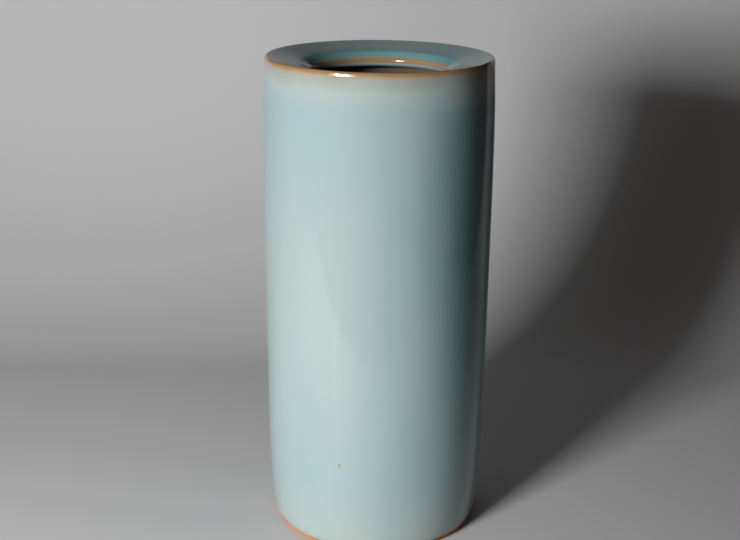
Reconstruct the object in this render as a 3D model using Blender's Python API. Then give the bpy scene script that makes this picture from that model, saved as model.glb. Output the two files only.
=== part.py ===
"""Celadon brush holder pot, standing on z = 0 with its axis on Z. Metres.

The clay is a thrown wall on a base slab, with a turned foot ring below it and a dished
mouth ring luted on top. Five glaze coats lie over the clay as thin skins of their own.
Every outline is drawn as (radius, height) and turned about the axis.
"""

import math

import bmesh
import bpy

# Driving dimensions
HEIGHT = 0.204
RIM_RADIUS = 0.047
RIM_ROUND = 0.0014
COAT = 0.0010
GAP = 0.0003
WALL = 0.0065

# The slightly barrelled outside, as (height, radius), from under the rim to the glaze line
BODY = (
    (0.180, 0.0478),
    (0.150, 0.0480),
    (0.115, 0.0479),
    (0.075, 0.0477),
    (0.041, 0.0474),
    (0.020, 0.0467),
    (0.006, 0.0455),
    (0.0018, 0.0449),
)
GLAZE_LINE = BODY[-1][0]

# Mouth ring: a shallow dish, a steeper throat and a rounded lip round the opening
LIP_RADIUS = 0.0283
DISH_BEND_RADIUS = 0.0325
DISH_BEND_DEPTH = 0.0030
DISH_BEND_ROUND = 0.008
THROAT_ANGLE = 34
LIP_TOP_ROUND = 0.0016
LIP_TOP_DEPTH = 0.0067
LIP_FOOT_ROUND = 0.0015
LIP_FOOT_DEPTH = 0.0075
LIP_FOOT_FLAT = 0.0006
SEAT_DEPTH = 0.0066
UNDERSIDE_DEPTH = 0.0079
SHOULDER_ROUND = 0.0030

# Base: foot ring, slab and the floor of the hollow
FOOT_INNER_RADIUS = 0.0365
FOOT_ROUND = 0.0007
FOOT_CHAMFER = 0.0006
RECESS_DEPTH = 0.0042
SLAB_TOP = 0.0107
SLAB_THICKNESS = 0.0052
FLOOR_ROUND = 0.005

SEGMENTS = 48

SLAB_BOTTOM = SLAB_TOP - SLAB_THICKNESS
FLOOR_HEIGHT = SLAB_TOP + GAP + COAT
CLAY_INSET = COAT + GAP


def clear_scene():
    for item in list(bpy.data.objects):
        bpy.data.objects.remove(item, do_unlink=True)


def glaze_material():
    material = bpy.data.materials.new("celadon_glaze")
    material.use_nodes = True
    shader = material.node_tree.nodes["Principled BSDF"]
    shader.inputs["Base Color"].default_value = (0.42, 0.58, 0.56, 1.0)
    shader.inputs["Roughness"].default_value = 0.12
    shader.inputs["Metallic"].default_value = 0.0
    return material


def clay_material():
    material = bpy.data.materials.new("stoneware_body")
    material.use_nodes = True
    shader = material.node_tree.nodes["Principled BSDF"]
    shader.inputs["Base Color"].default_value = (0.52, 0.45, 0.37, 1.0)
    shader.inputs["Roughness"].default_value = 0.85
    shader.inputs["Metallic"].default_value = 0.0
    return material


def foot_material():
    material = bpy.data.materials.new("fired_foot_clay")
    material.use_nodes = True
    shader = material.node_tree.nodes["Principled BSDF"]
    shader.inputs["Base Color"].default_value = (0.45, 0.21, 0.09, 1.0)
    shader.inputs["Roughness"].default_value = 0.8
    shader.inputs["Metallic"].default_value = 0.0
    return material


def arc(centre, radius, start, end, steps):
    """Points round a centre; angles in degrees, 0 outward from the axis and 90 up."""
    points = []
    for step in range(steps + 1):
        angle = math.radians(start + (end - start) * step / steps)
        points.append((centre[0] + radius * math.cos(angle), centre[1] + radius * math.sin(angle)))
    return points


def inset(line, distance):
    """The line moved to the right of its direction of travel, with mitred corners."""
    moved = []
    for index, point in enumerate(line):
        normals = []
        for first, second in ((index - 1, index), (index, index + 1)):
            if first >= 0 and second < len(line):
                run = (line[second][0] - line[first][0], line[second][1] - line[first][1])
                length = math.hypot(*run)
                normals.append((run[1] / length, -run[0] / length))
        mean = (sum(n[0] for n in normals), sum(n[1] for n in normals))
        size = math.hypot(*mean)
        mean = (mean[0] / size, mean[1] / size)
        mitre = distance / (mean[0] * normals[0][0] + mean[1] * normals[0][1])
        moved.append((point[0] + mean[0] * mitre, point[1] + mean[1] * mitre))
    return moved


def outer_radius(height):
    """Outside radius of the finished pot, straight between the body's stations."""
    stations = ((HEIGHT - RIM_ROUND, RIM_RADIUS),) + BODY
    for (top, top_radius), (low, low_radius) in zip(stations, stations[1:]):
        if height >= low:
            share = (height - low) / (top - low)
            return low_radius + (top_radius - low_radius) * share
    return BODY[-1][1]


def wall_heights(low, high):
    """Heights from low to high, with the body's stations between them."""
    stations = sorted(height for height, _ in BODY)
    return [low] + [height for height in stations if low < height < high] + [high]


def rounded_bend(start, corner, end, radius, steps):
    """The arc that rounds a corner which turns right on the way from start to end."""
    first = math.atan2(corner[1] - start[1], corner[0] - start[0])
    second = math.atan2(end[1] - corner[1], end[0] - corner[0])
    back = radius * math.tan((first - second) / 2)
    onto = (corner[0] - back * math.cos(first), corner[1] - back * math.sin(first))
    centre = (onto[0] + radius * math.sin(first), onto[1] - radius * math.cos(first))
    return arc(centre, radius, 90 + math.degrees(first), 90 + math.degrees(second), steps)


def mouth_line():
    """Finished surface of the mouth, from under the lip, up its face and out to the crest."""
    lip_foot = (LIP_RADIUS + LIP_FOOT_ROUND, HEIGHT - LIP_FOOT_DEPTH)
    lip_top = (LIP_RADIUS + LIP_TOP_ROUND, HEIGHT - LIP_TOP_DEPTH)
    bend = (DISH_BEND_RADIUS, HEIGHT - DISH_BEND_DEPTH)
    crest = (RIM_RADIUS - RIM_ROUND, HEIGHT)
    line = [(lip_foot[0] + LIP_FOOT_FLAT, lip_foot[1] - LIP_FOOT_ROUND)]
    line += arc(lip_foot, LIP_FOOT_ROUND, 270, 180, 3)
    line += arc(lip_top, LIP_TOP_ROUND, 180, 90 + THROAT_ANGLE, 3)
    line += rounded_bend(line[-1], bend, crest, DISH_BEND_ROUND, 2)
    line.append(crest)
    return line


def inner_radius(height):
    """Radius of the finished hollow, one wall thickness inside the outside."""
    return outer_radius(height) - WALL


def underside_line():
    """Finished surface from the top of the hollow's wall, in under the mouth ring to the lip."""
    height = HEIGHT - UNDERSIDE_DEPTH - SHOULDER_ROUND
    centre = (inner_radius(height) - SHOULDER_ROUND, height)
    lip_foot = LIP_RADIUS + LIP_FOOT_ROUND + LIP_FOOT_FLAT + GAP
    lip_height = HEIGHT - LIP_FOOT_DEPTH - LIP_FOOT_ROUND
    return arc(centre, SHOULDER_ROUND, 0, 85, 4) + [(lip_foot, lip_height)]


def turned(name, outline, material):
    """Turn a closed outline about the Z axis into one named solid."""
    mesh = bpy.data.meshes.new(name)
    form = bmesh.new()
    corners = [form.verts.new((radius, 0.0, height)) for radius, height in outline]
    edges = [form.edges.new((a, b)) for a, b in zip(corners, corners[1:] + corners[:1])]
    bmesh.ops.spin(
        form,
        geom=corners + edges,
        cent=(0.0, 0.0, 0.0),
        axis=(0.0, 0.0, 1.0),
        angle=2 * math.pi,
        steps=SEGMENTS,
        use_merge=True,
        use_duplicate=False,
    )
    bmesh.ops.remove_doubles(form, verts=form.verts, dist=0.00001)
    bmesh.ops.dissolve_degenerate(form, edges=form.edges, dist=0.00001)
    bmesh.ops.recalc_face_normals(form, faces=form.faces)
    form.to_mesh(mesh)
    form.free()
    mesh.shade_smooth()
    mesh.set_sharp_from_angle(angle=math.radians(35))
    mesh.materials.append(material)
    piece = bpy.data.objects.new(name, mesh)
    bpy.context.scene.collection.objects.link(piece)
    return piece


def make_foot_ring(material):
    """Turned foot: unglazed, a rounded outer toe and a chamfered inner edge."""
    top = SLAB_BOTTOM - GAP
    toe = outer_radius(GLAZE_LINE) - CLAY_INSET
    outline = [(FOOT_INNER_RADIUS, top), (FOOT_INNER_RADIUS, FOOT_CHAMFER)]
    outline.append((FOOT_INNER_RADIUS + FOOT_CHAMFER, 0.0))
    outline += arc((toe - FOOT_ROUND, FOOT_ROUND), FOOT_ROUND, 270, 360, 3)
    outline.append((toe, GLAZE_LINE))
    outline.append((outer_radius(top) - CLAY_INSET, top))
    return turned("foot_ring", outline, material)


def make_floor_disc(material):
    """Base slab that closes the pot and carries the wall."""
    outline = [(0.0, SLAB_TOP), (0.0, SLAB_BOTTOM)]
    outline += [(outer_radius(z) - CLAY_INSET, z) for z in wall_heights(SLAB_BOTTOM, SLAB_TOP)]
    return turned("floor_disc", outline, material)


def make_body_wall(material):
    """Thrown wall, filleted into the slab at its foot, with a flat seat for the mouth ring."""
    bottom = SLAB_TOP + GAP
    top = HEIGHT - SEAT_DEPTH - GAP
    fillet_height = FLOOR_HEIGHT + FLOOR_ROUND
    fillet_radius = FLOOR_ROUND + CLAY_INSET
    fillet_centre = (inner_radius(fillet_height) - FLOOR_ROUND, fillet_height)
    outside = [(outer_radius(z) - CLAY_INSET, z) for z in wall_heights(bottom, top)]
    inside = [(inner_radius(z) + CLAY_INSET, z) for z in wall_heights(fillet_height, top)]
    fillet = arc(fillet_centre, fillet_radius, 0, -65, 4)
    toe = (fillet[-1][0], bottom)
    return turned("body_wall", outside + inside[:0:-1] + fillet + [toe], material)


def make_mouth_flange(material):
    """Dished ring that narrows the mouth, luted down on the wall's seat."""
    top = inset(mouth_line(), CLAY_INSET)
    edge = outer_radius(HEIGHT - RIM_ROUND) - CLAY_INSET
    seat = HEIGHT - SEAT_DEPTH
    shoulder = inset(underside_line(), CLAY_INSET)[-2]
    outline = top[:-1] + [(edge, top[-1][1] - GAP), (edge, seat)]
    outline += [(inner_radius(seat) + CLAY_INSET, seat), shoulder]
    return turned("mouth_flange", outline, material)


def make_outer_glaze(material):
    """Coat from the rim's crest down the outside to the glaze line."""
    crest = arc((RIM_RADIUS - RIM_ROUND, HEIGHT - RIM_ROUND), RIM_ROUND, 70, 0, 4)
    shin = [(outer_radius(z), z) for z in wall_heights(GLAZE_LINE, HEIGHT - RIM_ROUND)][-2::-1]
    inside = [(radius - COAT, height) for radius, height in shin]
    back = (RIM_RADIUS - COAT, HEIGHT - RIM_ROUND)
    lip = (RIM_RADIUS - COAT, crest[0][1] - GAP)
    return turned("outer_glaze", crest + shin + inside[::-1] + [back, lip], material)


def make_mouth_glaze(material):
    """Coat from the rim's crest in over the dish and the throat, and round the lip."""
    line = mouth_line()
    edge = RIM_RADIUS - COAT - GAP
    under = inset(line, COAT)
    under[-1] = (edge, under[-1][1])
    return turned("mouth_glaze", line + [(edge, HEIGHT)] + under[::-1], material)


def make_inner_glaze(material):
    """Coat under the mouth ring, down the hollow and into the fillet round the floor."""
    fillet_height = FLOOR_HEIGHT + FLOOR_ROUND
    under = underside_line()
    wall = [(inner_radius(z), z) for z in wall_heights(fillet_height, under[0][1])]
    fillet_centre = (wall[0][0] - FLOOR_ROUND, fillet_height)
    line = arc(fillet_centre, FLOOR_ROUND, -90, 0, 5) + wall[1:-1] + under
    back = inset(line, COAT)
    back[-1] = (line[-1][0], back[-1][1])
    return turned("inner_glaze", line + back[::-1], material)


def make_floor_glaze(material):
    """Round pool of glaze on the floor of the hollow."""
    rim = inner_radius(FLOOR_HEIGHT + FLOOR_ROUND) - FLOOR_ROUND - GAP
    bottom = SLAB_TOP + GAP
    outline = [(0.0, FLOOR_HEIGHT), (0.0, bottom), (rim, bottom), (rim, FLOOR_HEIGHT)]
    return turned("floor_glaze", outline, material)


def make_underside_glaze(material):
    """Coat on the slab's underside, inside the foot ring."""
    rim = FOOT_INNER_RADIUS - GAP
    top = SLAB_BOTTOM - GAP
    outline = [(0.0, top), (0.0, RECESS_DEPTH), (rim, RECESS_DEPTH), (rim, top)]
    return turned("underside_glaze", outline, material)


clear_scene()
clay = clay_material()
foot = foot_material()
glaze = glaze_material()
make_foot_ring(foot)
make_floor_disc(clay)
make_body_wall(clay)
make_mouth_flange(clay)
make_outer_glaze(glaze)
make_mouth_glaze(glaze)
make_inner_glaze(glaze)
make_floor_glaze(glaze)
make_underside_glaze(glaze)
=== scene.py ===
"""Celadon brush holder pot, dressed over its CAD frame. Metres, +Z up, standing on z = 0.

The sections follow the pot as it is made: the turned foot, the clay that the glaze hides,
the glaze coats from the outside in, then the paper, the lights and the camera.
"""

import math

import bpy
from mathutils import Matrix, Vector


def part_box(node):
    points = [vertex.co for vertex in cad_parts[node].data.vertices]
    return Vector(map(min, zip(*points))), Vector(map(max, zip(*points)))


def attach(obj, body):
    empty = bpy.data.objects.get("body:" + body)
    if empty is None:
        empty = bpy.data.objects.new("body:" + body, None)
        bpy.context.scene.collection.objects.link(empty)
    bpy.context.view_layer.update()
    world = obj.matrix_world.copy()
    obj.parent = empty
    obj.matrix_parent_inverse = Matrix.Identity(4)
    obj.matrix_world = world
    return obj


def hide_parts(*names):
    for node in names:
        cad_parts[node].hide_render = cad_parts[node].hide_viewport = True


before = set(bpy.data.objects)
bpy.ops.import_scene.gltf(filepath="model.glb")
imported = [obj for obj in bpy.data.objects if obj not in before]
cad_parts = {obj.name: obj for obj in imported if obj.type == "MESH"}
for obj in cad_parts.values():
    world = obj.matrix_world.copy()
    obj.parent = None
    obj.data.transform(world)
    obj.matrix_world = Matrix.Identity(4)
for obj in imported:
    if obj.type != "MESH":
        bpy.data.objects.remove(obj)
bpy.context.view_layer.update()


# ---- Foot ring ----------------------------------------------------------------------
# The ring that the pot stands on, turned from the same stoneware when leather-hard and
# wiped clean of glaze. Its iron-bearing clay is bare and has flashed orange in the kiln.

FOOT_INNER = 0.0365
TOE_ROUND = 0.0009
HEEL_ROUND = 0.0006
GLAZE_STOP = 0.0008
STOP_BEVEL = 0.0003
FINE_TURNS = 192
CREASE = math.radians(40)
BLUSH_SIZE = 0.01667
GRIT_SIZE = 0.0007143
FRECKLE_EDGE = (0.10, 0.24)
TURNING_SPACE = 0.000698
TOOTH_SIZE = 0.0004545
TOOTH_DEPTH = 0.0001
WAVES_PER_UNIT = 20 / (2 * math.pi)


def arc(centre, radius, start, end, steps):
    """Points round a centre, as (radius, height); 0 degrees is outward and 90 is up."""
    points = []
    for step in range(steps + 1):
        angle = math.radians(start + (end - start) * step / steps)
        points.append((centre[0] + radius * math.cos(angle), centre[1] + radius * math.sin(angle)))
    return points


def turn(name, outline):
    """Draws a closed outline with one vertex after another and spins it about the pot's axis."""
    bpy.ops.object.select_all(action="DESELECT")
    start = Vector((outline[0][0], 0.0, outline[0][1]))
    bpy.ops.mesh.primitive_plane_add(size=0.001, location=start)
    piece = bpy.context.object
    piece.name = name
    piece.data.name = name
    bpy.ops.object.mode_set(mode="EDIT")
    bpy.ops.mesh.select_all(action="SELECT")
    bpy.ops.mesh.merge(type="CENTER")
    for here, there in zip(outline, outline[1:] + outline[:1]):
        stride = (there[0] - here[0], 0.0, there[1] - here[1])
        bpy.ops.mesh.extrude_vertices_move(TRANSFORM_OT_translate={"value": stride})
    bpy.ops.mesh.select_all(action="SELECT")
    bpy.ops.mesh.remove_doubles(threshold=0.000001)
    bpy.ops.mesh.spin(steps=FINE_TURNS, angle=2 * math.pi, center=(0, 0, 0), axis=(0, 0, 1))
    bpy.ops.mesh.select_all(action="SELECT")
    bpy.ops.mesh.remove_doubles(threshold=0.000005)
    bpy.ops.mesh.normals_make_consistent(inside=False)
    bpy.ops.object.mode_set(mode="OBJECT")
    bpy.ops.object.transform_apply(location=True, rotation=True, scale=True)
    bpy.ops.object.shade_smooth_by_angle(angle=CREASE)
    return piece


def linear(code):
    """A hex colour as it looks on screen, turned to the linear values that a shader takes."""
    shares = [int(code[place:place + 2], 16) / 255 for place in (1, 3, 5)]
    return (*[s / 12.92 if s <= 0.04045 else ((s + 0.055) / 1.055) ** 2.4 for s in shares], 1.0)


def add(tree, kind, settings=None, links=None):
    """Adds one node. A link is another node's output, or a plain value for that input."""
    made = tree.nodes.new(kind)
    for name, value in (settings or {}).items():
        if name == "stops":
            while len(made.color_ramp.elements) < len(value):
                made.color_ramp.elements.new(1.0)
            for element, (place, code) in zip(made.color_ramp.elements, value):
                element.position = place
                element.color = linear(code)
        else:
            setattr(made, name, value)
    for name, value in (links or {}).items():
        if isinstance(value, bpy.types.NodeSocket):
            tree.links.new(value, made.inputs[name])
        else:
            made.inputs[name].default_value = value
    return made


def new_material(name):
    """An empty material with its tree, its Principled shader and its Object coordinates."""
    material = bpy.data.materials.new(name)
    material.use_nodes = True
    tree = material.node_tree
    shader = tree.nodes["Principled BSDF"]
    place = add(tree, "ShaderNodeTexCoord").outputs["Object"]
    return material, tree, shader, place


def bare_stoneware(name, pale, dark):
    """Unglazed stoneware, turned and fired: dull and gritty, blushed darker in places by the
    flame, with iron freckles in its grit and fine turning lines round it."""
    material, tree, shader, place = new_material(name)
    blush = add(tree, "ShaderNodeTexNoise",
                links={"Vector": place, "Scale": 1 / BLUSH_SIZE, "Detail": 4.0})
    tone = add(tree, "ShaderNodeValToRGB", {"stops": [(0.35, dark), (0.65, pale)]},
               {"Fac": blush.outputs["Fac"]})
    grit = add(tree, "ShaderNodeTexVoronoi", links={"Vector": place, "Scale": 1 / GRIT_SIZE})
    freckle = add(tree, "ShaderNodeMapRange",
                  links={"Value": grit.outputs["Distance"],
                         "From Min": FRECKLE_EDGE[0], "From Max": FRECKLE_EDGE[1]})
    colour = add(tree, "ShaderNodeMix", {"data_type": "RGBA"},
                 {"Factor": freckle.outputs["Result"], "A": linear("#5a3320"),
                  "B": tone.outputs["Color"]})
    lines = add(tree, "ShaderNodeTexWave",
                {"wave_type": "RINGS", "rings_direction": "Z"},
                {"Vector": place, "Scale": 1 / (TURNING_SPACE * WAVES_PER_UNIT),
                 "Distortion": 2.0, "Detail": 2.0})
    tooth = add(tree, "ShaderNodeTexNoise",
                links={"Vector": place, "Scale": 1 / TOOTH_SIZE, "Detail": 3.0})
    height = add(tree, "ShaderNodeMath", {"operation": "ADD"},
                 {0: lines.outputs["Fac"], 1: tooth.outputs["Fac"]})
    bump = add(tree, "ShaderNodeBump",
               links={"Height": height.outputs["Value"], "Strength": 0.5, "Distance": TOOTH_DEPTH})
    tree.links.new(colour.outputs["Result"], shader.inputs["Base Color"])
    tree.links.new(bump.outputs["Normal"], shader.inputs["Normal"])
    shader.inputs["Roughness"].default_value = 0.82
    return material


foot_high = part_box("foot_ring")[1]
glaze_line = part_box("outer_glaze")[0].z
toe = foot_high.x

foot_outline = [(FOOT_INNER, foot_high.z), (FOOT_INNER, HEEL_ROUND)]
foot_outline += arc((FOOT_INNER + HEEL_ROUND, HEEL_ROUND), HEEL_ROUND, 180, 270, 6)
foot_outline += arc((toe - TOE_ROUND, TOE_ROUND), TOE_ROUND, 270, 360, 8)
foot_outline += [(toe, glaze_line - STOP_BEVEL), (toe - GLAZE_STOP, glaze_line), (toe, foot_high.z)]
foot_ring = turn("turned_foot", foot_outline)
foot_ring.data.materials.append(bare_stoneware("flashed_stoneware", "#d08a54", "#a9673c"))
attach(foot_ring, "root")
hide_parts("foot_ring")


# ---- Clay under the glaze -----------------------------------------------------------
# The base slab, the thrown wall and the dished mouth ring, joined with slip before the
# firing. Glaze covers them all over, so the CAD solids stay and only get their clay.

body_clay = bare_stoneware("grey_stoneware", "#a89c86", "#8f836f")
for name in ("floor_disc", "body_wall", "mouth_flange"):
    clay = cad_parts[name]
    clay.data.materials.clear()
    clay.data.materials.append(body_clay)


# ---- Glaze on the outside -----------------------------------------------------------
# Blue-green celadon, poured over the outside and melted to a deep, even gloss. It runs
# thin over the rim and at the glaze line, and the iron in the clay shows brown through it.

COAT = 0.0013
RIM_ROUND = 0.0010
SHOULDER_EASE = 0.0062
EASE_ANGLE = 12
BEAD_ROUND = 0.0005
# Stations down the outside of the wall, as (height, radius).
BODY = (
    (0.1800, 0.0478),
    (0.1500, 0.0480),
    (0.1150, 0.0479),
    (0.0750, 0.0477),
    (0.0410, 0.0474),
    (0.0200, 0.0467),
    (0.0060, 0.0455),
    (0.0024, 0.0447),
)

CLOUD_SIZE = 0.045
CLOUD_STRETCH = 0.35
RIPPLE_SIZE = 0.008
MOST_WANDER = 0.0006
THROWING_SPACE = 0.009
THROWING_STRETCH = 0.05
THROWING_DEPTH = 0.00012
PEEL_SIZE = 0.0025
PEEL_DEPTH = 0.000012
LEAST_DEPTH = 0.59
MOST_DEPTH = 0.78
SMOOTHEST = 0.05
ROUGHEST = 0.11
# The glaze colour is scaled by height: lighter towards the foot, darker towards the rim.
SHADE_AT_FOOT = 1.15
SHADE_AT_RIM = 0.82
# From bare iron brown, through thin beige and grey, to the blue-green of a deep pool.
GLAZE_TONES = [(0.0, "#84684a"), (0.12, "#957b58"), (0.28, "#85867e"), (0.45, "#8e9996"),
               (0.68, "#829697"), (1.0, "#628385")]

rim_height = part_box("mouth_glaze")[1].z
rim_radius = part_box("mouth_glaze")[1].x + COAT


def smooth_line(points, steps):
    """A smooth curve through all the points, which leaves each one towards the one after next."""
    padded = [points[0], *points, points[-1]]
    line = []
    for before, here, there, after in zip(padded, padded[1:], padded[2:], padded[3:]):
        for step in range(steps):
            t = step / steps
            line.append(tuple(
                0.5 * (2 * b + (c - a) * t + (2 * a - 5 * b + 4 * c - d) * t ** 2
                       + (3 * b - a - 3 * c + d) * t ** 3)
                for a, b, c, d in zip(before, here, there, after)))
    return line + [points[-1]]


lean = math.radians(EASE_ANGLE)
ease = SHOULDER_EASE - RIM_ROUND
rim_edge = (rim_radius - RIM_ROUND - ease * (1 - math.cos(lean)), rim_height - RIM_ROUND)
ease_centre = (rim_edge[0] - ease * math.cos(lean), rim_edge[1] - ease * math.sin(lean))
wall_line = smooth_line(((ease_centre[1], rim_radius),) + BODY, 6)
wall_foot = BODY[-1][1]


def on_wall(azimuth, height):
    """A point on the outside of the wall; 0 degrees faces the camera and 90 is to its right."""
    turned = math.radians(azimuth)
    radius = min(wall_line, key=lambda point: abs(point[0] - height))[1]
    return (radius * math.sin(turned), -radius * math.cos(turned), height)


def celadon(name, rings, patches=(), tones=GLAZE_TONES, rim_shade=SHADE_AT_RIM, worn=None):
    """Celadon glaze, fired to a smooth gloss, whose colour is its depth: blue where it pooled,
    paler where it is thin, and brown with iron where it ran off an edge. Throwing lines in
    the clay and an orange-peel skin bend its reflections a little.

    A ring is (radius, height, near, far, change) and a patch is (azimuth, height, near, far,
    stretch, change): each changes the depth fully within near of its middle, and fades by far.
    Some patches use this to paint light and shade on the wall.
    tones is the colour at each depth, from 0 to 1. rim_shade scales that colour at the rim, as
    SHADE_AT_FOOT does on the table, in a straight line between. worn is (low, high, roughness):
    above low the gloss dulls, by that much from high up."""
    material, tree, shader, place = new_material(name)
    heights = add(tree, "ShaderNodeSeparateXYZ", links={"Vector": place}).outputs["Z"]
    flat = add(tree, "ShaderNodeVectorMath", {"operation": "MULTIPLY"},
               {0: place, 1: (1.0, 1.0, 0.0)}).outputs["Vector"]
    radii = add(tree, "ShaderNodeVectorMath", {"operation": "LENGTH"}, {0: flat}).outputs["Value"]
    tall = add(tree, "ShaderNodeMapping",
               links={"Vector": place, "Scale": (1.0, 1.0, CLOUD_STRETCH)})
    cloud = add(tree, "ShaderNodeTexNoise",
                links={"Vector": tall.outputs["Vector"], "Scale": 1 / CLOUD_SIZE, "Detail": 5.0})
    ripple = add(tree, "ShaderNodeTexNoise",
                 links={"Vector": place, "Scale": 1 / RIPPLE_SIZE, "Detail": 2.0}).outputs["Fac"]
    depth = add(tree, "ShaderNodeMapRange",
                links={"Value": cloud.outputs["Fac"], "From Min": 0.25, "From Max": 0.75,
                       "To Min": LEAST_DEPTH, "To Max": MOST_DEPTH}).outputs["Result"]
    for ring_radius, ring_height, near, far, change in rings:
        wander = min((far - near) / 4, MOST_WANDER)
        out = add(tree, "ShaderNodeMath", {"operation": "SUBTRACT"}, {0: radii, 1: ring_radius})
        up = add(tree, "ShaderNodeMath", {"operation": "SUBTRACT"}, {0: heights, 1: ring_height})
        offset = add(tree, "ShaderNodeCombineXYZ",
                     links={"X": out.outputs["Value"], "Z": up.outputs["Value"]})
        reach = add(tree, "ShaderNodeVectorMath", {"operation": "LENGTH"},
                    {0: offset.outputs["Vector"]})
        wavy = add(tree, "ShaderNodeMath", {"operation": "MULTIPLY_ADD"},
                   {0: ripple, 1: 2 * wander, 2: reach.outputs["Value"]})
        share = add(tree, "ShaderNodeMapRange", {"interpolation_type": "SMOOTHSTEP"},
                    {"Value": wavy.outputs["Value"], "From Min": near + wander,
                     "From Max": far + wander, "To Min": change, "To Max": 0.0})
        depth = add(tree, "ShaderNodeMath", {"operation": "ADD"},
                    {0: depth, 1: share.outputs["Result"]}).outputs["Value"]
    for azimuth, height, near, far, stretch, change in patches:
        offset = add(tree, "ShaderNodeVectorMath", {"operation": "SUBTRACT"},
                     {0: place, 1: on_wall(azimuth, height)})
        eased = add(tree, "ShaderNodeVectorMath", {"operation": "MULTIPLY"},
                    {0: offset.outputs["Vector"], 1: (1.0, 1.0, 1 / stretch)})
        reach = add(tree, "ShaderNodeVectorMath", {"operation": "LENGTH"},
                    {0: eased.outputs["Vector"]})
        share = add(tree, "ShaderNodeMapRange", {"interpolation_type": "SMOOTHSTEP"},
                    {"Value": reach.outputs["Value"], "From Min": near, "From Max": far,
                     "To Min": change, "To Max": 0.0})
        depth = add(tree, "ShaderNodeMath", {"operation": "ADD"},
                    {0: depth, 1: share.outputs["Result"]}).outputs["Value"]
    tone = add(tree, "ShaderNodeValToRGB", {"stops": tones}, {"Fac": depth})
    # The colour is scaled by height, from SHADE_AT_FOOT on the table to rim_shade at the rim.
    fired = add(tree, "ShaderNodeMapRange",
                links={"Value": heights, "From Max": rim_height,
                       "To Min": SHADE_AT_FOOT, "To Max": rim_shade})
    shaded = add(tree, "ShaderNodeVectorMath", {"operation": "SCALE"},
                 {0: tone.outputs["Color"], "Scale": fired.outputs["Result"]})
    gloss = add(tree, "ShaderNodeMapRange",
                links={"Value": ripple, "To Min": SMOOTHEST, "To Max": ROUGHEST}).outputs["Result"]
    if worn:
        wear = add(tree, "ShaderNodeMapRange",
                   links={"Value": heights, "From Min": worn[0], "From Max": worn[1],
                          "To Min": 0.0, "To Max": worn[2]})
        gloss = add(tree, "ShaderNodeMath", {"operation": "ADD"},
                    {0: gloss, 1: wear.outputs["Result"]}).outputs["Value"]
    lines = add(tree, "ShaderNodeMapping",
                links={"Vector": place, "Scale": (THROWING_STRETCH, THROWING_STRETCH, 1.0)})
    throwing = add(tree, "ShaderNodeTexNoise",
                   links={"Vector": lines.outputs["Vector"], "Scale": 1 / THROWING_SPACE,
                          "Detail": 1.0})
    waves = add(tree, "ShaderNodeBump",
                links={"Height": throwing.outputs["Fac"], "Strength": 1.0,
                       "Distance": THROWING_DEPTH})
    peel = add(tree, "ShaderNodeTexNoise",
               links={"Vector": place, "Scale": 1 / PEEL_SIZE, "Detail": 1.0})
    skin = add(tree, "ShaderNodeBump",
               links={"Height": peel.outputs["Fac"], "Strength": 1.0, "Distance": PEEL_DEPTH,
                      "Normal": waves.outputs["Normal"]})
    tree.links.new(shaded.outputs["Vector"], shader.inputs["Base Color"])
    tree.links.new(gloss, shader.inputs["Roughness"])
    tree.links.new(skin.outputs["Normal"], shader.inputs["Normal"])
    shader.inputs["IOR"].default_value = 1.5
    return material


bead = (wall_foot - BEAD_ROUND, BODY[-1][0])
clay_line = [(radius - COAT, height) for height, radius in wall_line[::-1]]
outside_outline = arc(rim_edge, RIM_ROUND, 90, EASE_ANGLE, 10)
outside_outline += arc(ease_centre, SHOULDER_EASE, EASE_ANGLE, 0, 6)[1:]
outside_outline += [(radius, height) for height, radius in wall_line[1:]]
outside_outline += arc(bead, BEAD_ROUND, 0, -90, 6)[1:]
outside_outline += [(wall_foot - COAT, glaze_line)] + clay_line
outside_outline += [(rim_edge[0], rim_edge[1] - RIM_ROUND / 2)]

OUTSIDE_THIN = [
    (rim_radius, rim_height, 0.0007, 0.0027, -0.32),  # worn to brown on the crest
    (rim_radius, rim_height, 0.0010, 0.0180, -0.38),  # a beige band below it
    (wall_foot, glaze_line, 0.0003, 0.0010, -0.5),    # a brown thread where the glaze stops
    (wall_foot, glaze_line, 0.0030, 0.0300, -0.20),   # and paler for a while above that
]
IRON_SPECKS = [
    (-18, 0.0413, 0.0001, 0.0009, 2.0, -0.65),
    (25, 0.1650, 0.0001, 0.0007, 1.3, -0.60),
]
# Runs in the glaze, and patches of painted light and shade: paler towards the soft box, darker and
# bluer on the side turned away from it, and a painted reflection down the lit side.
RUNS_AND_PAINTED_LIGHT = [
    (-45, 0.105, 0.010, 0.070, 1.2, -0.14),        # paler on the side towards the soft box: painted light
    (-19.5, 0.082, 0.0005, 0.0035, 11.0, -0.05),   # a long pale streak down the wall: a painted reflection
    (35, 0.142, 0.0005, 0.0040, 4.0, -0.06),       # a short pale run in the glaze
    (52, 0.145, 0.006, 0.034, 3.4, 0.32),          # deeper and darker blue-green on the side away from the soft box: painted shade
    (52, 0.197, 0.004, 0.026, 0.6, -0.16),         # browner just under the rim there: a thin-glaze tint, darkened further as painted shade
]

outside = turn("outside_glaze", outside_outline)
outside.data.materials.append(celadon("celadon_outside", OUTSIDE_THIN, IRON_SPECKS + RUNS_AND_PAINTED_LIGHT))
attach(outside, "root")
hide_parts("outer_glaze")


# ---- Glaze in the mouth -------------------------------------------------------------
# The coat on the dished mouth ring: in from the crest of the rim, pooled deep and blue in
# the steeper throat, thin and brown over the lip, and on round under its edge.

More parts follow.
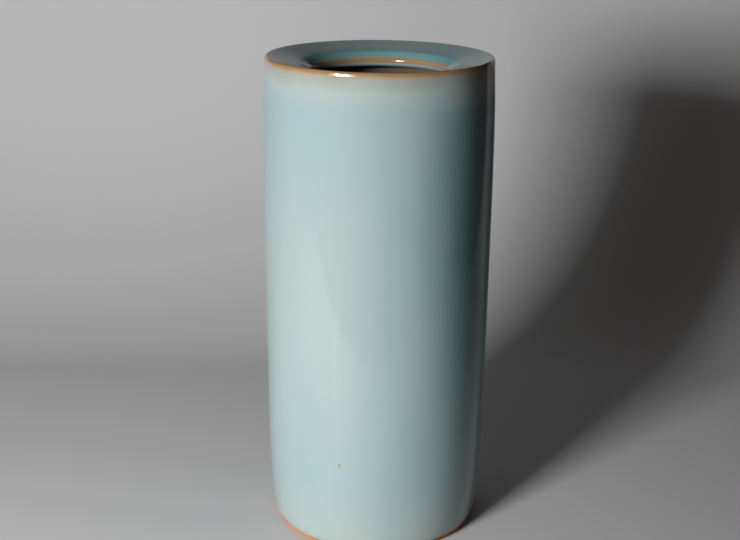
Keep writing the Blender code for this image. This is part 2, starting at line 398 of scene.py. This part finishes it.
LIP_RADIUS = 0.0283
LIP_TOP_ROUND = 0.0016
LIP_FOOT_ROUND = 0.0015
LIP_FLAT = 0.0006
LIP_TOP = (LIP_RADIUS + LIP_TOP_ROUND, rim_height - 0.0067)
LIP_FOOT = (LIP_RADIUS + LIP_FOOT_ROUND, rim_height - 0.0075)
LIP_BACK = (LIP_TOP[0] + 0.0004, LIP_TOP[1] + 0.0003)
BEND = (0.0325, rim_height - 0.0030)
BEND_ROUND = 0.008
THROAT_ANGLE = 34
DISH_ANGLE = 12
MOUTH_SHADE = 0.90
MOUTH_TONES = GLAZE_TONES[:-1] + [(1.0, "#5c9092")]
MOUTH_RINGS = [
    (rim_radius, rim_height - 0.0006, 0.0010, 0.0040, -0.3),            # brown on the crest
    (LIP_RADIUS + 0.0035, rim_height - 0.0048, 0.0020, 0.0060, 0.25),   # a pool in the throat
    (LIP_RADIUS + 0.0002, rim_height - 0.0060, 0.0008, 0.0021, -0.70),  # brown on the lip
]
# The dish above the throat is handled most, and its gloss is duller than the throat's.
DISH_WEAR = (rim_height - 0.0055, rim_height - 0.0035, 0.16)


def rounded_bend(start, corner, end, radius, steps):
    """The arc that rounds a corner which turns right on the way from start to end."""
    first = math.atan2(corner[1] - start[1], corner[0] - start[0])
    second = math.atan2(end[1] - corner[1], end[0] - corner[0])
    back = radius * math.tan((first - second) / 2)
    onto = (corner[0] - back * math.cos(first), corner[1] - back * math.sin(first))
    centre = (onto[0] + radius * math.sin(first), onto[1] - radius * math.cos(first))
    return arc(centre, radius, 90 + math.degrees(first), 90 + math.degrees(second), steps)


lip_line = [(LIP_FOOT[0] + LIP_FLAT, LIP_FOOT[1] - LIP_FOOT_ROUND)]
lip_line += arc(LIP_FOOT, LIP_FOOT_ROUND, 270, 180, 10)
lip_line += arc(LIP_TOP, LIP_TOP_ROUND, 180, 90 + THROAT_ANGLE, 8)
crest = arc(rim_edge, RIM_ROUND, 90 + DISH_ANGLE, 90, 4)
mouth_line = lip_line + rounded_bend(lip_line[-1], BEND, crest[0], BEND_ROUND, 10) + crest
mouth_back = [(rim_edge[0], rim_height - COAT), (BEND[0], BEND[1] - COAT)]
mouth_back += [LIP_BACK, (LIP_FOOT[0] + LIP_FLAT, LIP_FOOT[1])]

mouth = turn("mouth_glaze_coat", mouth_line + mouth_back)
mouth.data.materials.append(celadon(
    "celadon_mouth", MOUTH_RINGS, tones=MOUTH_TONES, rim_shade=MOUTH_SHADE, worn=DISH_WEAR))
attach(mouth, "root")
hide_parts("mouth_glaze")


# ---- Glaze inside -------------------------------------------------------------------
# The coat poured inside and out again: under the mouth ring, down the wall and into the
# fillet round the floor, with what was left standing as a shallow pool on the floor.

WALL = 0.0065
UNDER_MOUTH_RING = 0.0079
SHOULDER_ROUND = 0.0030
SHOULDER_TURN = 84
FLOOR_ROUND = 0.005
FILLET_COAT = 0.0010
POOL_DISH = 0.0002
POOL_DEPTH = 0.0010
# The inside coat is scaled much darker towards the rim than the outside: painted shade in the pot's
# mouth and hollow.
INSIDE_PAINTED_SHADE = 0.50
# One wide ring, which makes the coat thin and grey all the way down.
INSIDE_THIN = [(0.040, 0.100, 0.20, 0.30, -0.44)]

floor_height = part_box("floor_glaze")[1].z
shoulder_height = rim_height - UNDER_MOUTH_RING - SHOULDER_ROUND
hollow_line = [(radius - WALL, height) for height, radius in wall_line
               if floor_height + FLOOR_ROUND < height < shoulder_height][::-1]
fillet = (hollow_line[0][0] - FLOOR_ROUND, floor_height + FLOOR_ROUND)
shoulder = (hollow_line[-1][0] - SHOULDER_ROUND, shoulder_height)
inner_line = arc(fillet, FLOOR_ROUND, -90, 0, 10) + hollow_line
inner_line += arc(shoulder, SHOULDER_ROUND, 0, SHOULDER_TURN, 8) + [lip_line[0]]
inner_back = [(LIP_FOOT[0] + LIP_FLAT, LIP_FOOT[1])]
inner_back += [(shoulder[0], shoulder_height + SHOULDER_ROUND + COAT)]
inner_back += [(radius + COAT, height) for radius, height in hollow_line[::-1]]
inner_back += arc(fillet, FLOOR_ROUND + FILLET_COAT, 0, -90, 6)

inside = turn("inside_glaze", inner_line + inner_back)
inside_celadon = celadon("celadon_inside", INSIDE_THIN, rim_shade=INSIDE_PAINTED_SHADE)
inside.data.materials.append(inside_celadon)
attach(inside, "root")
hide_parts("inner_glaze")

pool_outline = [(0.0, floor_height - POOL_DISH), (fillet[0], floor_height)]
pool_outline += [(fillet[0], floor_height - POOL_DEPTH), (0.0, floor_height - POOL_DEPTH)]
pool = turn("floor_pool", pool_outline)
pool.data.materials.append(inside_celadon)
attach(pool, "root")
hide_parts("floor_glaze")


# ---- Glaze under the foot -----------------------------------------------------------
# A thin brushed coat on the underside of the slab, inside the foot ring. It stops short
# of the ring in a rounded edge, so that the pot did not stick to the kiln shelf.

UNDERSIDE_ROUND = 0.0006

recess_low, recess_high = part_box("underside_glaze")
coat_edge = (recess_high.x - UNDERSIDE_ROUND, recess_low.z + UNDERSIDE_ROUND)
underside_outline = [(0.0, recess_high.z), (0.0, recess_low.z)]
underside_outline += arc(coat_edge, UNDERSIDE_ROUND, 270, 360, 6)
underside_outline += [(recess_high.x, recess_high.z)]
underside = turn("underside_glaze_coat", underside_outline)
underside.data.materials.append(celadon("celadon_underside", [
    (recess_high.x, recess_low.z, 0.0006, 0.0030, -0.5),
]))
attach(underside, "root")
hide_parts("underside_glaze")


# ---- Paper and table ----------------------------------------------------------------
# One sheet of plain matt paper, laid flat under the pot and curved up close behind it. It
# is see-through from behind, so that the pot shows from all sides, and lies on a pale
# table as plain as itself, which runs on past its edges and throws no light on the pot.

SHEET_LEFT = -1.60
SHEET_RIGHT = 0.41
SHEET_FRONT = -0.25
SWEEP_START = 0.1525
SWEEP_ROUND = 0.165
SHEET_TOP = 0.30
TABLE_SIZE = 4.0
TABLE_DROP = 0.0005
MATT = 0.73
MOTTLE_SIZE = 0.3


def matt_surface(name):
    """Matt pale grey, as of uncoated paper or a painted board, a little cloudy in tone."""
    material, tree, shader, place = new_material(name)
    cloud = add(tree, "ShaderNodeTexNoise",
                links={"Vector": place, "Scale": 1 / MOTTLE_SIZE, "Detail": 2.0})
    tone = add(tree, "ShaderNodeValToRGB", {"stops": [(0.3, "#acacad"), (0.7, "#aeaeaf")]},
               {"Fac": cloud.outputs["Fac"]})
    tree.links.new(tone.outputs["Color"], shader.inputs["Base Color"])
    shader.inputs["Roughness"].default_value = MATT
    return material, tree, shader


paper, tree, shader = matt_surface("matt_paper")
side = add(tree, "ShaderNodeNewGeometry")
clear = add(tree, "ShaderNodeBsdfTransparent")
either = add(tree, "ShaderNodeMixShader")
tree.links.new(side.outputs["Backfacing"], either.inputs[0])
tree.links.new(shader.outputs["BSDF"], either.inputs[1])
tree.links.new(clear.outputs["BSDF"], either.inputs[2])
tree.links.new(either.outputs["Shader"], tree.nodes["Material Output"].inputs["Surface"])

sweep_outline = [(SHEET_FRONT, 0.0), (SWEEP_START, 0.0)]
sweep_outline += arc((SWEEP_START, SWEEP_ROUND), SWEEP_ROUND, -90, 0, 24)[1:]
sweep_outline.append((SWEEP_START + SWEEP_ROUND, SHEET_TOP))

bpy.ops.object.select_all(action="DESELECT")
bpy.ops.mesh.primitive_plane_add(size=0.001, location=(SHEET_LEFT, SHEET_FRONT, 0.0))
sheet = bpy.context.object
sheet.name = "paper_sweep"
bpy.ops.object.mode_set(mode="EDIT")
bpy.ops.mesh.merge(type="CENTER")
for here, there in zip(sweep_outline, sweep_outline[1:]):
    stride = (0.0, there[0] - here[0], there[1] - here[1])
    bpy.ops.mesh.extrude_vertices_move(TRANSFORM_OT_translate={"value": stride})
bpy.ops.mesh.select_all(action="SELECT")
bpy.ops.mesh.extrude_edges_move(
    TRANSFORM_OT_translate={"value": (SHEET_RIGHT - SHEET_LEFT, 0.0, 0.0)})
bpy.ops.mesh.select_all(action="SELECT")
bpy.ops.mesh.normals_make_consistent(inside=False)
bpy.ops.object.mode_set(mode="OBJECT")
if sum(face.normal.z for face in sheet.data.polygons) < 0:
    sheet.data.flip_normals()
bpy.ops.object.transform_apply(location=True, rotation=True, scale=True)
bpy.ops.object.shade_smooth_by_angle(angle=CREASE)
sheet.data.materials.append(paper)

bpy.ops.object.select_all(action="DESELECT")
bpy.ops.mesh.primitive_plane_add(size=TABLE_SIZE, location=(0.0, 0.0, -TABLE_DROP))
table = bpy.context.object
table.name = "pale_table"
bpy.ops.object.transform_apply(location=True, rotation=True, scale=True)
table.data.materials.append(matt_surface("pale_board")[0])
table.visible_diffuse = False
table.visible_glossy = False


# ---- Lights -------------------------------------------------------------------------
# One soft box to the left of the camera and about level with it, with a dim wide edge
# round its bright middle, in a dim warm room. A weak light from behind stands in for the
# room's walls there: it falls on the pot only, and low enough to leave the dish alone.

SOFT_BOX = {"azimuth": -35, "distance": 0.578, "height": 0.2755, "aim_height": 0.307}
BACK_FILL = {"azimuth": 165, "distance": 0.29, "height": 0.10, "aim_height": 0.10}


def soft_box(name, azimuth, distance, height, aim_height, size, power):
    """A rectangular soft light; azimuth is in degrees from the camera's side, right positive."""
    light = bpy.data.lights.new(name, "AREA")
    light.shape = "RECTANGLE"
    light.size, light.size_y = size
    light.energy = power
    lamp = bpy.data.objects.new(name, light)
    turned = math.radians(azimuth)
    lamp.location = (distance * math.sin(turned), -distance * math.cos(turned), height)
    aim = Vector((0.0, 0.0, aim_height))
    lamp.rotation_euler = (aim - lamp.location).to_track_quat("-Z", "Y").to_euler()
    bpy.context.scene.collection.objects.link(lamp)
    return lamp


soft_box("soft_box_middle", **SOFT_BOX, size=(0.141, 0.129), power=6.2)
soft_box("soft_box_edge", **SOFT_BOX, size=(0.25, 0.15), power=0.7)

back_fill = soft_box("back_fill", **BACK_FILL, size=(0.30, 0.19), power=0.6)
back_fill.visible_camera = False
back_fill.visible_glossy = False
lit_pieces = bpy.data.collections.new("lit_by_back_fill")
for piece in (foot_ring, outside, mouth, inside, pool, underside):
    lit_pieces.objects.link(piece)
back_fill.light_linking.receiver_collection = lit_pieces

world = bpy.data.worlds.new("dim_room")
world.use_nodes = True
world.node_tree.nodes["Background"].inputs["Color"].default_value = linear("#36312e")
bpy.context.scene.world = world


# ---- Camera -------------------------------------------------------------------------
# Half a metre in front of the pot and a little above its rim, looking down on it.

CAMERA_DISTANCE = 0.5029
CAMERA_ABOVE_RIM = 0.0727
CAMERA_PAN = 0.351
CAMERA_TILT = 18.153
CAMERA_ROLL = 0.579

camera_data = bpy.data.cameras.new("camera")
camera_data.lens = 59.8
camera_data.sensor_width = 36.0
camera_data.clip_start = 0.01
camera = bpy.data.objects.new("camera", camera_data)
camera.matrix_world = (
    Matrix.Translation((0.0, -CAMERA_DISTANCE, rim_height + CAMERA_ABOVE_RIM))
    @ Matrix.Rotation(math.radians(CAMERA_PAN), 4, "Z")
    @ Matrix.Rotation(math.radians(90 - CAMERA_TILT), 4, "X")
    @ Matrix.Rotation(math.radians(CAMERA_ROLL), 4, "Z")
)
bpy.context.scene.collection.objects.link(camera)
bpy.context.scene.camera = camera
bpy.context.scene.view_settings.view_transform = "Standard"
